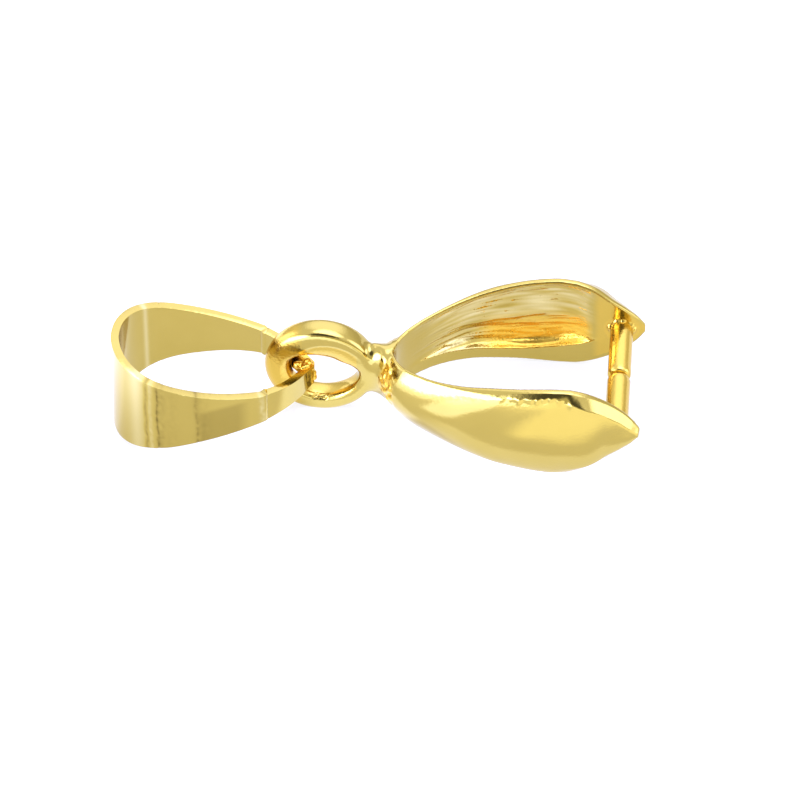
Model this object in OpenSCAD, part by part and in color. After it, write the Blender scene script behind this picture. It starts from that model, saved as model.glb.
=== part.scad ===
// Bail finding: a pinch clasp that closes on a bead or stone, with a slide-on loop bail
// in its ring. It lies on its side edges: +X runs to the tips of the clasp, +Z is up,
// and the origin is the middle of its footprint on the table.

/* [Ring] */
// Outside diameter of the standing ring
ring_out_d = 4.2; // [3.9:0.01:5]
// Diameter of the ring's wire
ring_wire_d = 0.96; // [0.6:0.01:1.05]

/* [Neck] */
// Height of the neck between the ring and the shells
neck_h = 2.5; // [1.6:0.05:2.8]
// Depth of the neck from front to back
neck_d = 1.05; // [0.7:0.05:1.3]
// Length of metal from the outside of the ring to the fork between the shells
fork_set = 0.67; // [0.5:0.01:2]
// How far the fork lies to the near side of the ring's middle plane
fork_drift = 0.34; // [0:0.01:0.6]

/* [Shells] */
// Length of a shell from the fork to its tip
shell_len = 9.4; // [7:0.1:12]
// Height of the leaf outline where it is widest
leaf_h = 4.3; // [3.8:0.1:6]
// Gap between the two rims where they stand widest apart
jaw_gap = 5.62; // [4:0.02:8]
// Depth of a shell from its rim to the outside of its belly
belly_d = 0.69; // [0.6:0.01:1.2]
// Thickness of a shell's wall at the belly
shell_wall = 0.38; // [0.3:0.01:0.45]
// Thickness of a shell's wall at its rim
rim_t = 0.22; // [0.1:0.01:0.28]
// Width of the flat lip round the rim
lip_w = 0.42; // [0.25:0.01:0.8]

/* [Pins] */
// Diameter of the pins that hold the bead
pin_d = 0.88; // [0.5:0.01:1.1]
// Distance from a pin's axis back from the tip of its shell
pin_set_back = 0.89; // [0.75:0.01:2]
// Gap between the ends of the two pins
pin_gap = 0.06; // [0.02:0.01:2]

/* [Loop bail] */
// Length of the folded loop from its fold to the soldered ends
loop_len = 7.51; // [6.5:0.01:10]
// Width across the outside of the two arms of the loop
loop_w = 4.94; // [4:0.02:6]
// Length of the rounded fold, from its outside to where the arms stand widest apart
fold_len = 2.6; // [1.5:0.05:3]
// Height of the strip at its fold, where it is widest
strip_h = 4.1; // [3.6:0.05:4.3]
// Height of the strip at the soldered ends
strip_end_h = 0.9; // [0.5:0.05:1]
// Thickness of the sheet
sheet_t = 0.3; // [0.2:0.01:0.36]
// Width across the arms at the crease, where they start to bend inwards
crease_w = 3.8; // [3.3:0.02:4.2]
// Length of the arms past the axis of the ring's wire
tail_len = 1.27; // [1.2:0.01:1.5]
// Degrees by which the arms lean outwards at their lower edges
arm_flare = 4; // [0:0.5:6]

/* [Lie] */
// Turn of the loop about the ring's wire as it lies
loop_turn = 4.5; // [-5:0.1:10]
// Gap between the ring's wire and the arm that lies beside it
wire_play = 0.2; // [0.16:0.01:0.3]

/* [Hidden] */

// Sides of the round forms, and steps between two rows of a section table
round_sides = 48;
row_steps = 2;
shell_sides = 10;

// Both pieces stand on their own lower edges
mid_z = leaf_h / 2;
strip_mid_z = strip_h / 2;

// The ring's wire runs in a circle of this radius, and the loop hangs on its outer stretch
wire_r = ring_wire_d / 2;
ring_r = ring_out_d / 2 - wire_r;

// The arms bend inwards from where the wire's back stands, and this share of the tail is straight
crease_back = wire_r;
tail_straight = 0.62;
bend_len = crease_back + tail_len;

// Bulge of the rounded fold and of the arms up to the crease, and taper of the strip's height
fold_power = 2.25;
arm_power = 2.2;
strip_power = 1.5;
fold_steps = 14;
arm_steps = 8;
tail_steps = 6;

// Half widths of the loop's mid surface, which comes to nothing where the ends are soldered
widest_half = (loop_w - sheet_t) / 2;
crease_half = (crease_w - sheet_t) / 2;

function tail_half(s) = crease_half * (1 - tail_straight * s - (1 - tail_straight) * pow(s, 3));
function tail_slope(s) = crease_half * (tail_straight + 3 * (1 - tail_straight) * s * s) / bend_len;

// The far arm lies beside the wire, so the whole loop lies to the near side by this much
wire_share = crease_back / bend_len;
wire_slope = atan(tail_slope(wire_share));
arm_inside = tail_half(wire_share) - sheet_t / 2 / cos(wire_slope);
loop_shift = (wire_r + wire_play) / cos(wire_slope) - arm_inside;

// Roundness of a shell's belly, least share of a shell's height that stays hollow,
// and share of a shell's length over which the fork's drift fades out
belly_power = 1.4;
hollow_share = 0.4;
drift_share = 0.5;

// Places along X, from the fold of the loop to the tips of the shells
fold_reach = (loop_len - tail_len) * cos(loop_turn) + loop_shift * sin(loop_turn);
whole_len = fold_reach + 2 * ring_r + wire_r + fork_set + shell_len;
tip_x = whole_len / 2;
fork_x = tip_x - shell_len;
ring_x = fork_x - fork_set - wire_r - ring_r;
wire_x = ring_x - ring_r;
pin_x = tip_x - pin_set_back;

// Shell sections from the fork to the tip, each square to the line of the rim.
// along: share of shell_len; spread: share of half the jaw_gap; height: share of leaf_h;
// depth: share of belly_d; hollow: share of the full depth of the hollow
ALONG = 0;
SPREAD = 1;
HEIGHT = 2;
DEPTH = 3;
HOLLOW = 4;
SHELL_ROWS = [
    [0.00, 0.00, 0.57, 0.80, 0.00],
    [0.02, 0.18, 0.58, 0.85, 0.00],
    [0.06, 0.36, 0.60, 0.88, 0.05],
    [0.16, 0.61, 0.65, 0.88, 0.60],
    [0.29, 0.81, 0.75, 0.92, 1.00],
    [0.40, 0.91, 0.85, 0.96, 1.00],
    [0.52, 0.98, 0.94, 0.99, 1.00],
    [0.64, 1.00, 1.00, 1.00, 1.00],
    [0.73, 0.98, 0.97, 1.00, 1.00],
    [0.79, 0.96, 0.87, 0.98, 1.00],
    [0.86, 0.92, 0.67, 0.90, 0.80],
    [0.92, 0.92, 0.48, 0.80, 0.50],
    [0.97, 0.94, 0.27, 0.66, 0.15],
    [1.00, 0.96, 0.09, 0.46, 0.00],
];

// Neck sections from inside the ring's wire to inside the metal behind the fork.
// along: share of the way from the wire's axis to the fork;
// neck height, depth and drift: shares of neck_h, neck_d and fork_drift
NECK_HEIGHT = 1;
NECK_DEPTH = 2;
NECK_DRIFT = 3;
NECK_ROWS = [
    [-0.10, 0.60, 0.50, 0.00],
    [ 0.15, 0.97, 0.80, 0.00],
    [ 0.50, 0.96, 1.00, 0.15],
    [ 0.70, 0.91, 1.15, 0.65],
    [ 0.86, 0.78, 1.15, 0.90],
];

function drift(along) = -fork_drift * pow(max(0, 1 - max(0, along) / drift_share), 2);

// Smooth curve through the rows of a table, by the slope at each row
function row_slope(rows, col, i) =
    let (a = max(i - 1, 0), b = min(i + 1, len(rows) - 1))
    (rows[b][col] - rows[a][col]) / (rows[b][ALONG] - rows[a][ALONG]);
function blend(rows, col, i, s) =
    let (
        gap = rows[i + 1][ALONG] - rows[i][ALONG],
        rise = rows[i + 1][col] - rows[i][col],
        start = row_slope(rows, col, i) * gap,
        end = row_slope(rows, col, i + 1) * gap
    )
    rows[i][col] + s * (start + s * (3 * rise - 2 * start - end + s * (start + end - 2 * rise)));
function smooth_row(rows, i, s) = [
    for (col = [0 : len(rows[0]) - 1])
    col == ALONG ? rows[i][ALONG] + s * (rows[i + 1][ALONG] - rows[i][ALONG]) : blend(rows, col, i, s)
];
function smooth_rows(rows) = [
    for (i = [0 : len(rows) - 2])
    for (k = [0 : row_steps - 1])
    smooth_row(rows, i, k / row_steps),
    rows[len(rows) - 1],
];
function row_at(rows, along, i = 0) =
    i < len(rows) - 2 && rows[i + 1][ALONG] < along
        ? row_at(rows, along, i + 1)
        : smooth_row(rows, i, (along - rows[i][ALONG]) / (rows[i + 1][ALONG] - rows[i][ALONG]));

// Solid skinned over closed sections that all have the same, even number of points.
// An end is closed by rungs from its first half of points back to its second half. The
// diagonals turn over halfway, so that no face is flat where the outline ends in a line.
function end_faces(count, first) = [
    for (j = [0 : count / 2 - 2])
    let (a = first + j, b = first + count - 1 - j)
    each j < count / 4 ? [[a, a + 1, b], [a + 1, b - 1, b]] : [[a, a + 1, b - 1], [a, b - 1, b]]
];
function turned_over(faces) = [for (face = faces) [face[2], face[1], face[0]]];
module skin(sections) {
    count = len(sections[0]);
    last = len(sections) - 1;
    polyhedron(
        points = [for (section = sections) each section],
        faces = concat(
            end_faces(count, 0),
            [
                for (i = [0 : last - 1])
                for (j = [0 : count - 1])
                let (a = i * count + j, b = i * count + (j + 1) % count)
                each [[a, a + count, b], [b, a + count, b + count]]
            ],
            turned_over(end_faces(count, last * count))
        )
    );
}

// Direction square to the way from one point to another, outwards
function unit(v) = v / norm(v);
function outward(from, to) =
    let (along = unit(to - from))
    [-along.y, along.x];

// Rows of both shells in one list, from the tip of the near shell round the fork to the tip
// of the far one, with a spread below nothing on the near side
function both_shells(rows) = concat(
    [
        for (i = [len(rows) - 1 : -1 : 1])
        [for (col = [0 : len(rows[i]) - 1]) col == SPREAD ? -rows[i][col] : rows[i][col]]
    ],
    rows
);
function rim_place(row) = [
    fork_x + row[ALONG] * shell_len,
    row[SPREAD] * jaw_gap / 2 + drift(row[ALONG])
];

// Closed section of a shell: round the outside of its belly, then back through its hollow.
// A side of the section bulges from its edge, out to its depth at mid height.
function belly_point(place, out, edge, depth, half, turn) =
    let (set = edge + (depth - edge) * pow(max(0, cos(turn)), belly_power))
    [place.x + out.x * set, place.y + out.y * set, mid_z + half * sin(turn)];
function shell_section(row, place, out) =
    let (
        half = row[HEIGHT] * leaf_h / 2,
        inner_half = max(half - lip_w, half * hollow_share),
        edge = row[DEPTH] * rim_t,
        depth = row[DEPTH] * belly_d,
        hollow = row[HOLLOW] * (belly_d - shell_wall)
    )
    concat(
        [
            for (k = [0 : shell_sides])
            belly_point(place, out, edge, depth, half, 180 * k / shell_sides - 90)
        ],
        [belly_point(place, out, 0, 0, half, 90)],
        [
            for (k = [0 : shell_sides])
            belly_point(place, out, 0, hollow, inner_half, 90 - 180 * k / shell_sides)
        ],
        [belly_point(place, out, 0, 0, half, -90)]
    );

function neck_section(row) = [
    for (k = [0 : 2 * shell_sides - 1])
    let (turn = 180 * k / shell_sides)
    [
        ring_x + ring_r + row[ALONG] * (fork_x - ring_x - ring_r),
        row[NECK_DEPTH] * neck_d / 2 * cos(turn) - row[NECK_DRIFT] * fork_drift,
        mid_z + row[NECK_HEIGHT] * neck_h / 2 * sin(turn)
    ]
];

module ring() {
    translate([ring_x, 0, mid_z])
        rotate([90, 0, 0])
            rotate_extrude($fn = round_sides)
                translate([ring_r, 0])
                    circle(r = wire_r, $fn = round_sides);
}

module neck() {
    skin([for (row = smooth_rows(NECK_ROWS)) neck_section(row)]);
}

// The two shells and the fork between them are one sweep of the shell's section
module shells() {
    rows = both_shells(smooth_rows(SHELL_ROWS));
    places = [for (row = rows) rim_place(row)];
    last = len(rows) - 1;
    skin([
        for (i = [0 : last])
        shell_section(rows[i], places[i], outward(places[max(i - 1, 0)], places[min(i + 1, last)]))
    ]);
}

// A pin ends halfway into the wall of its shell
module pin() {
    row = row_at(SHELL_ROWS, 1 - pin_set_back / shell_len);
    rim = row[SPREAD] * jaw_gap / 2;
    wall_inside = rim + row[HOLLOW] * (belly_d - shell_wall);
    wall_outside = rim + row[DEPTH] * belly_d;
    translate([pin_x, pin_gap / 2, mid_z])
        rotate([-90, 0, 0])
            cylinder(d = pin_d, h = (wall_inside + wall_outside - pin_gap) / 2, $fn = round_sides);
}

module pinch_clasp() {
    color("#d6bd5c") {
        ring();
        neck();
        shells();
        for (side = [0, 1])
            mirror([0, side, 0])
                pin();
    }
}

// Mid surface of one arm, from the fold to the soldered ends, in the loop's own frame,
// whose origin is the axis of the ring's wire
fold_x = tail_len - loop_len + sheet_t / 2;
widest_x = fold_x + fold_len - sheet_t / 2;
function arm_path() = concat(
    [
        for (k = [0 : fold_steps])
        let (turn = 90 * k / fold_steps)
        [
            widest_x - (widest_x - fold_x) * pow(cos(turn), 2 / fold_power),
            widest_half * pow(sin(turn), 2 / fold_power)
        ]
    ],
    [
        for (k = [1 : arm_steps])
        let (s = k / arm_steps)
        [
            widest_x + s * (-crease_back - widest_x),
            widest_half - (widest_half - crease_half) * pow(s, arm_power)
        ]
    ],
    [
        for (k = [1 : tail_steps])
        let (s = k / tail_steps)
        [s * bend_len - crease_back, tail_half(s)]
    ]
);

// Cross section of the strip at a place on the path: four corners of the leaning sheet
function strip_half(x) =
    (strip_end_h + (strip_h - strip_end_h) * pow(max(0, tail_len - x) / loop_len, strip_power)) / 2;
function strip_section(path, i) =
    let (
        p = path[i],
        behind = i == 0 ? [path[1].x, -path[1].y] : path[i - 1],
        normal = outward(behind, path[min(i + 1, len(path) - 1)]),
        half = strip_half(p.x - sheet_t / 2),
        lean = tan(arm_flare) * half * p.y / widest_half
    )
    [
        for (corner = [[-1, -1], [1, -1], [1, 1], [-1, 1]])
        let (out = corner.x * sheet_t / 2 - corner.y * lean)
        [p.x + normal.x * out, p.y + normal.y * out, corner.y * half]
    ];

module arm() {
    path = arm_path();
    skin([for (i = [0 : len(path) - 1]) strip_section(path, i)]);
}

module slide_bail() {
    color("#d6bd5c")
        translate([wire_x, 0, strip_mid_z])
            rotate([0, 0, loop_turn])
                translate([0, loop_shift, 0])
                    for (side = [0, 1])
                        mirror([0, side, 0])
                            arm();
}

slide_bail();
pinch_clasp();
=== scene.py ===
# %% [markdown]
# Pinch bail with a slide-on loop
#
# A pendant bail as a jeweller would make it, in gold-plated brass. A casting of two hollow
# leaf shells grips a bead with its pins, and a folded strip of sheet, hung in the casting's
# ring, takes the chain. The object is only 20 mm long, so each form is worked out here in
# millimetres, and its mesh is brought to metres at the very end.

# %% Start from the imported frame
import math

import bpy
import numpy as np
from mathutils import Matrix, Vector, noise
from mathutils.bvhtree import BVHTree


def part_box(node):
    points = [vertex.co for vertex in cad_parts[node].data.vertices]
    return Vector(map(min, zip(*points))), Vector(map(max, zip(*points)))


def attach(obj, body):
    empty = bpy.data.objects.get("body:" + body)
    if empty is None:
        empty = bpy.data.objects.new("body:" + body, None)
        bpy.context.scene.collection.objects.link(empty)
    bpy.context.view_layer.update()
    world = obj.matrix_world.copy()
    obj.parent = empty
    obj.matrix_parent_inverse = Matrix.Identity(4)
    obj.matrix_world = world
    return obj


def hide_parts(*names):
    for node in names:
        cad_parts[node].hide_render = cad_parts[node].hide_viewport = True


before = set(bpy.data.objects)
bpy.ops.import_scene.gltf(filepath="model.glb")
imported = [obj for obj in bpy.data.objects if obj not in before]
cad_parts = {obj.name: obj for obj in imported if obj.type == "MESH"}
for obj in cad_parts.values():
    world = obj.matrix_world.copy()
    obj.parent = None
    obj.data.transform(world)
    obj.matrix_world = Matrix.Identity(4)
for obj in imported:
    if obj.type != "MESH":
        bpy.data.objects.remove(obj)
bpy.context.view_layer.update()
MM = 0.001
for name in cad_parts:
    low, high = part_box(name)
    print(name, "is", [round((b - a) / MM, 2) for a, b in zip(low, high)], "mm")

# %% [markdown]
# Sizes
#
# They are the same named sizes that the part's solids are drawn from. Everything below is
# placed by them, so a piece made here always sits on its solid.

# %% Sizes in millimetres
RING_OUT_R, WIRE_R = 2.1, 0.48
NECK_H, NECK_D, FORK_SET, FORK_DRIFT = 2.5, 1.05, 0.67, 0.34
SHELL_LEN, LEAF_H, JAW_GAP = 9.4, 4.3, 5.62
BELLY_D, RIM_T = 0.69, 0.22
PIN_R, PIN_SET_BACK, PIN_GAP = 0.44, 0.89, 0.06
LOOP_LEN, LOOP_W, FOLD_LEN, CREASE_W = 7.51, 4.94, 2.6, 3.8
STRIP_H, STRIP_END_H, SHEET_T = 4.1, 0.9, 0.3
TAIL_LEN, ARM_FLARE, LOOP_TURN, WIRE_PLAY = 1.27, 4.0, 4.5, 0.2

MID_Z, STRIP_MID_Z = LEAF_H / 2, STRIP_H / 2
RING_R = RING_OUT_R - WIRE_R
BEND_LEN = WIRE_R + TAIL_LEN
CREASE_HALF = (CREASE_W - SHEET_T) / 2
WIDEST_HALF = (LOOP_W - SHEET_T) / 2
TAIL_STRAIGHT = 0.62


def tail_half(s):
    """Half width of the loop past its crease, which comes to nothing at the soldered ends."""
    return CREASE_HALF * (1 - TAIL_STRAIGHT * s - (1 - TAIL_STRAIGHT) * s**3)


share = WIRE_R / BEND_LEN
slope = CREASE_HALF * (TAIL_STRAIGHT + 3 * (1 - TAIL_STRAIGHT) * share**2) / BEND_LEN
lean_cos = math.cos(math.atan(slope))
LOOP_SHIFT = (WIRE_R + WIRE_PLAY) / lean_cos - (tail_half(share) - SHEET_T / 2 / lean_cos)
turn = math.radians(LOOP_TURN)
fold_reach = (LOOP_LEN - TAIL_LEN) * math.cos(turn) + LOOP_SHIFT * math.sin(turn)
TIP_X = (fold_reach + 2 * RING_R + WIRE_R + FORK_SET + SHELL_LEN) / 2
FORK_X = TIP_X - SHELL_LEN
RING_X = FORK_X - FORK_SET - WIRE_R - RING_R
WIRE_X = RING_X - RING_R
PIN_X = TIP_X - PIN_SET_BACK
print("ring at", round(RING_X, 3), "fork at", round(FORK_X, 3), "tips at", round(TIP_X, 3))

# %% [markdown]
# Helpers
#
# One function adds a node to any tree, with its settings and its links. One turns the hex
# colours that a painter would read off the metal into the linear values that shaders use.
# The others make a mesh from rings of points and smooth a table of listed rows.

# %% One node with its settings and links
MATH, VECTOR_MATH, MAP_RANGE = "ShaderNodeMath", "ShaderNodeVectorMath", "ShaderNodeMapRange"
SOFT = {"interpolation_type": "SMOOTHSTEP"}


def node(tree, kind, ins=None, **settings):
    made = tree.nodes.new(kind)
    for key, value in settings.items():
        setattr(made, key, value)
    for key, value in (ins or {}).items():
        if isinstance(value, bpy.types.NodeSocket):
            tree.links.new(value, made.inputs[key])
        else:
            made.inputs[key].default_value = value
    return made


def linear(code):
    """sRGB hex colour to linear, with alpha."""
    parts = [int(code[i : i + 2], 16) / 255 for i in (1, 3, 5)]
    return [c / 12.92 if c <= 0.04045 else ((c + 0.055) / 1.055) ** 2.4 for c in parts] + [1.0]


# %% A mesh object from points and faces, and from rings of points
def mesh_object(name, points, faces):
    data = bpy.data.meshes.new(name)
    data.from_pydata([tuple(p) for p in points], [], faces)
    data.update()
    made = bpy.data.objects.new(name, data)
    bpy.context.scene.collection.objects.link(made)
    return made


def skin(name, rings, closed=False):
    """Quads between rings of points that all have the same count, with its ends closed."""
    count, last = len(rings[0]), len(rings)
    faces = []
    for i in range(last if closed else last - 1):
        for j in range(count):
            a, b = i * count + j, i * count + (j + 1) % count
            step = ((i + 1) % last - i) * count
            faces.append((a, a + step, b + step, b))
    if not closed:
        faces.append(tuple(range(count)))
        faces.append(tuple(range((last - 1) * count, last * count))[::-1])
    return mesh_object(name, [p for ring in rings for p in ring], faces)


# %% A smooth curve through the rows of a table
def smooth(rows, at):
    """Row of the table at a place in its first column, with the same curve as the solids."""
    rows = np.asarray(rows, float)
    key = rows[:, 0]
    i = int(np.clip(np.searchsorted(key, at) - 1, 0, len(key) - 2))
    gap = key[i + 1] - key[i]
    s = (at - key[i]) / gap

    def tangent(k):
        a, b = max(k - 1, 0), min(k + 1, len(key) - 1)
        return (rows[b] - rows[a]) / (key[b] - key[a]) * gap

    rise, start, end = rows[i + 1] - rows[i], tangent(i), tangent(i + 1)
    out = rows[i] + s * (start + s * (3 * rise - 2 * start - end + s * (start + end - 2 * rise)))
    out[0] = at
    return out


def fade(low, high, x):
    """0 below low, 1 above high, and a smooth ramp between them."""
    s = np.clip((x - low) / (high - low), 0, 1)
    return s * s * (3 - 2 * s)


def apply_modifiers(obj):
    """The evaluated shape as a plain mesh, with the modifiers gone."""
    depsgraph = bpy.context.evaluated_depsgraph_get()
    data = bpy.data.meshes.new_from_object(obj.evaluated_get(depsgraph), depsgraph=depsgraph)
    data.name = obj.name
    if obj.type == "MESH":
        obj.modifiers.clear()
        obj.data = data
        return obj
    made = bpy.data.objects.new(obj.name + "_mesh", data)
    bpy.context.scene.collection.objects.link(made)
    bpy.data.objects.remove(obj)
    return made


# %% [markdown]
# The camera
#
# The real piece lies on white, seen from about 46 degrees above and with a long lens. The
# camera comes first.

# %% Camera
VIEW_AZ, VIEW_EL = math.radians(3.7), math.radians(46.0)
PX_PER_MM, DISTANCE = 26.5, 250.0
SENSOR, FRAME_PX = 36.0, 800.0
# How far the middle of the frame lies right of the object's middle, and how far below it
SHIFT_RIGHT_PX, SHIFT_DOWN_PX = 22, 33
az_sin, az_cos = math.sin(VIEW_AZ), math.cos(VIEW_AZ)
el_sin, el_cos = math.sin(VIEW_EL), math.cos(VIEW_EL)
away = Vector((az_sin * el_cos, -az_cos * el_cos, el_sin))
right = Vector((az_cos, az_sin, 0))
up = Vector((-az_sin * el_sin, az_cos * el_sin, el_cos))
target = Vector((0, 0, MID_Z)) + right * (SHIFT_RIGHT_PX / PX_PER_MM) - up * (SHIFT_DOWN_PX / PX_PER_MM)
camera_data = bpy.data.cameras.new("camera")
camera_data.sensor_width = SENSOR
camera_data.lens = SENSOR * DISTANCE * PX_PER_MM / FRAME_PX
camera_data.clip_start, camera_data.clip_end = 0.01, 5.0
camera = bpy.data.objects.new("camera", camera_data)
bpy.context.scene.collection.objects.link(camera)
camera.location = (target + away * DISTANCE) * MM
camera.rotation_euler = away.to_track_quat("Z", "Y").to_euler()
bpy.context.scene.camera = camera
print("lens", round(camera_data.lens, 1), "mm")

# %% [markdown]
# The casting: shells, fork, neck and ring
#
# On the real piece the ring, neck and leaf shells are one lost-wax casting, so nothing has a
# seam and every inner corner is a soft fillet. It is made the same way here: each form is a
# clean skin over worked-out sections, and one voxel remesh then melts them together.

# %% Sections of the shells
# along, spread, height, depth, hollow: shares of SHELL_LEN, half JAW_GAP, LEAF_H, BELLY_D and
# the hollow's depth. facet: how far the rounded belly has turned into flat facets.
# shoulder: how far the belly starts with a narrow flat under the rim
SHELL_ROWS = [
    (0.00, 0.00, 0.57, 0.80, 0.00, 0.0, 0.0),
    (0.02, 0.18, 0.58, 0.85, 0.00, 0.0, 0.0),
    (0.06, 0.36, 0.60, 0.88, 0.02, 0.0, 0.0),
    (0.16, 0.61, 0.65, 0.88, 0.35, 0.0, 0.0),
    (0.29, 0.81, 0.75, 0.92, 0.85, 0.0, 0.1),
    (0.40, 0.91, 0.85, 0.96, 1.00, 0.0, 0.5),
    (0.52, 0.98, 0.94, 0.99, 1.00, 0.0, 1.0),
    (0.64, 1.00, 1.00, 1.00, 1.00, 0.0, 0.9),
    (0.70, 0.99, 0.99, 1.00, 0.92, 0.1, 0.2),
    (0.73, 0.98, 0.97, 1.00, 0.75, 0.5, 0.0),
    (0.79, 0.96, 0.87, 0.98, 0.20, 1.0, 0.0),
    (0.86, 0.92, 0.67, 0.90, 0.00, 1.0, 0.0),
    (0.92, 0.92, 0.48, 0.80, 0.00, 1.0, 0.0),
    (0.97, 0.94, 0.27, 0.66, 0.00, 1.0, 0.0),
    (1.00, 0.96, 0.09, 0.46, 0.00, 1.0, 0.0),
]
# Sections between two rows of the table, and points across the belly and across the hollow
ROW_SPLIT, AROUND = 14, 60
# Points of a rounded corner, and of the rim's face above the hollow and below it
CORNER_STEPS, UPPER_FACE, LOWER_FACE = 4, 4, 6
POCKET_START = AROUND + 1 + 2 * (CORNER_STEPS + 1) + UPPER_FACE
CORNER_R = 0.07
# Share of the shells' length over which they drift back to the middle from the fork
DRIFT_SHARE = 0.5
# Rise of the belly for each mm down from the rim, on the tip's facet and on the shoulder. The
# lower edge has only a share of that facet
FACET_RISE, SHOULDER_RISE, SHOULDER_W, LOW_FACET = 1.35, 1.0, 0.2, 0.35
# Power of the belly's bow, rounder at the root and fuller round one place along the shell
BELLY_BOW, ROOT_BOW, FULL_BOW, FULL_AT, FULL_W = 0.72, 0.33, 0.2, 0.42, 0.07
# Share of the rim's thickness that is gone at the root, how far the belly stands inside its
# solid, and its dents
ROOT_THIN, BELLY_IN, DENT_D = 0.4, 0.02, 0.05
# Depth of the hollow, what its lower half adds, and depth of the burr's lines
POCKET_D, LOW_POCKET, STRIA_D = 0.34, 0.16, 0.07
THIN_LIP, THICK_LIP, TIP_LIP, LEAST_WALL = 0.16, 0.55, 1.05, 0.13


def station(row, side):
    drift = -FORK_DRIFT * max(0.0, 1 - max(0.0, row[0]) / DRIFT_SHARE) ** 2
    return np.array([FORK_X + row[0] * SHELL_LEN, side * row[1] * JAW_GAP / 2 + drift])


def belly(down, half, depth, edge, facet, shoulder, bow, width):
    """How far the outside stands from the rim's face at a way down from the nearer rim."""
    s = 1 - down / half
    rounded = edge + (depth - edge) * max(0.0, 1 - s * s) ** bow
    narrow = edge + SHOULDER_RISE * min(down, width)
    if down > width:
        narrow = max(rounded, narrow)
    rounded += (narrow - rounded) * max(0.0, shoulder)
    flat = min(depth, edge + down * FACET_RISE)
    return rounded + (flat - rounded) * min(1.0, max(0.0, facet))


def striae(along, s):
    """Lines that the burr left lengthwise in the hollow: some broad, some fine."""
    line = noise.noise(Vector((along * 4.0, s * 6.0, 5.0)))
    fine = noise.noise(Vector((along * 10.0, s * 19.0, 9.0)))
    return 0.5 * line + 0.5 * fine


def corner(a, b, c):
    """A rounded corner at b on the way from a to c."""
    a, b, c = np.array(a), np.array(b), np.array(c)
    ways = np.linspace(0, 1, CORNER_STEPS + 1)
    return [tuple((1 - t) ** 2 * a + 2 * t * (1 - t) * b + t * t * c) for t in ways]


def dent(along, z, half):
    """Shallow dents that hand polishing left in the belly, none at its edges or at the root."""
    wave = noise.noise(Vector((along * 7.0, z * 0.55, 2.0)))
    return DENT_D * wave * max(0.0, 1 - (z / half) ** 2) * fade(0.2, 0.35, along)


def pocket_depth(along, hollow, s):
    """Depth of the hollow at s across it, which is 1 at its upper edge and -1 at its lower."""
    wall = max(0.0, 1 - abs(s) ** 6) ** 0.7
    deep = max(0.0, hollow) * wall * (POCKET_D + LOW_POCKET * fade(0.05, 0.6, -s))
    return deep + STRIA_D * min(1.0, deep / 0.2) * striae(along, s)


def shell_section(row, place, out):
    """One outline round a shell: its belly, upper rim, hollow and lower rim."""
    along, _, height, depth, hollow, facet, shoulder = row
    half = height * LEAF_H / 2
    root = 1 - float(fade(0.12, 0.38, along))
    edge, depth = depth * RIM_T * (1 - ROOT_THIN * root), depth * BELLY_D
    bow = BELLY_BOW + ROOT_BOW * root - FULL_BOW * math.exp(-(((along - FULL_AT) / FULL_W) ** 2))
    ragged = SHOULDER_W * (1 + 0.7 * noise.noise(Vector((along * 45.0, 4.0, 1.0))))
    r = min(CORNER_R, edge / 2.2, half / 3)
    side = []
    for k in range(AROUND + 1):
        z = (half - r) * math.sin(math.pi * (k / AROUND - 0.5))
        cut, flat = (facet, shoulder) if z > 0 else (LOW_FACET * facet, 0.0)
        reach = belly(half - abs(z), half, depth, edge, cut, flat, bow, ragged)
        side.append((reach - BELLY_IN + dent(along, z, half), z))
    top = corner(side[-1], (edge, half), (edge - r, half))
    top += corner((r, half), (0.0, half), (0.0, half - r))
    # The hollow comes close to the upper rim, and leaves a broad lip below that widens to the tip
    lip = THICK_LIP + (TIP_LIP - THICK_LIP) * fade(0.45, 0.78, along)
    upper, lower = half - min(THIN_LIP, half * 0.3), -(half - min(lip, half * 0.7))
    pocket = []
    for k in range(AROUND + 1):
        s = math.sin(math.pi * (0.5 - k / AROUND))
        z = (upper + lower) / 2 + s * (upper - lower) / 2
        most = belly(half - abs(z), half, depth, edge, 0, 0, bow, 0.0) - LEAST_WALL
        pocket.append((min(pocket_depth(along, hollow, s), most), z))
    rise = [(0.0, z) for z in np.linspace(half - r, upper, UPPER_FACE + 2)[1:-1]]
    fall = [(0.0, z) for z in np.linspace(lower, r - half, LOWER_FACE + 2)[1:-1]]
    low = [(d, -z) for d, z in top[::-1]]
    section = side + top + rise + pocket + fall + low
    return [(place[0] + out[0] * d, place[1] + out[1] * d, MID_Z + z) for d, z in section]


# %% The shells as one sweep, from the near tip round the fork to the far tip
keys = [row[0] for row in SHELL_ROWS]
between = {a + (b - a) * k / ROW_SPLIT for a, b in zip(keys, keys[1:]) for k in range(ROW_SPLIT)}
alongs = sorted(between | {1.0})
stations = [(smooth(SHELL_ROWS, a), -1) for a in alongs[:0:-1]]
stations += [(smooth(SHELL_ROWS, a), 1) for a in alongs]
places = [station(row, side) for row, side in stations]
rings_of_shells = []
for i, (row, _) in enumerate(stations):
    along = places[min(i + 1, len(places) - 1)] - places[max(i - 1, 0)]
    along = along / np.linalg.norm(along)
    rings_of_shells.append(shell_section(row, places[i], (-along[1], along[0])))
shells = skin("shells", rings_of_shells)
print("shell sections:", len(rings_of_shells), "of", len(rings_of_shells[0]), "points")

# %% [markdown]
# The ring is a plain round wire only on the left, where the loop hangs. Elsewhere its hole was
# cut from both faces and broke through in the middle, so each face has a sharp edge round the
# hole and the metal swells inwards between them, most of all at the top. The table gives that
# swelling, and each section blends from the round wire to the cut form.

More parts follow.
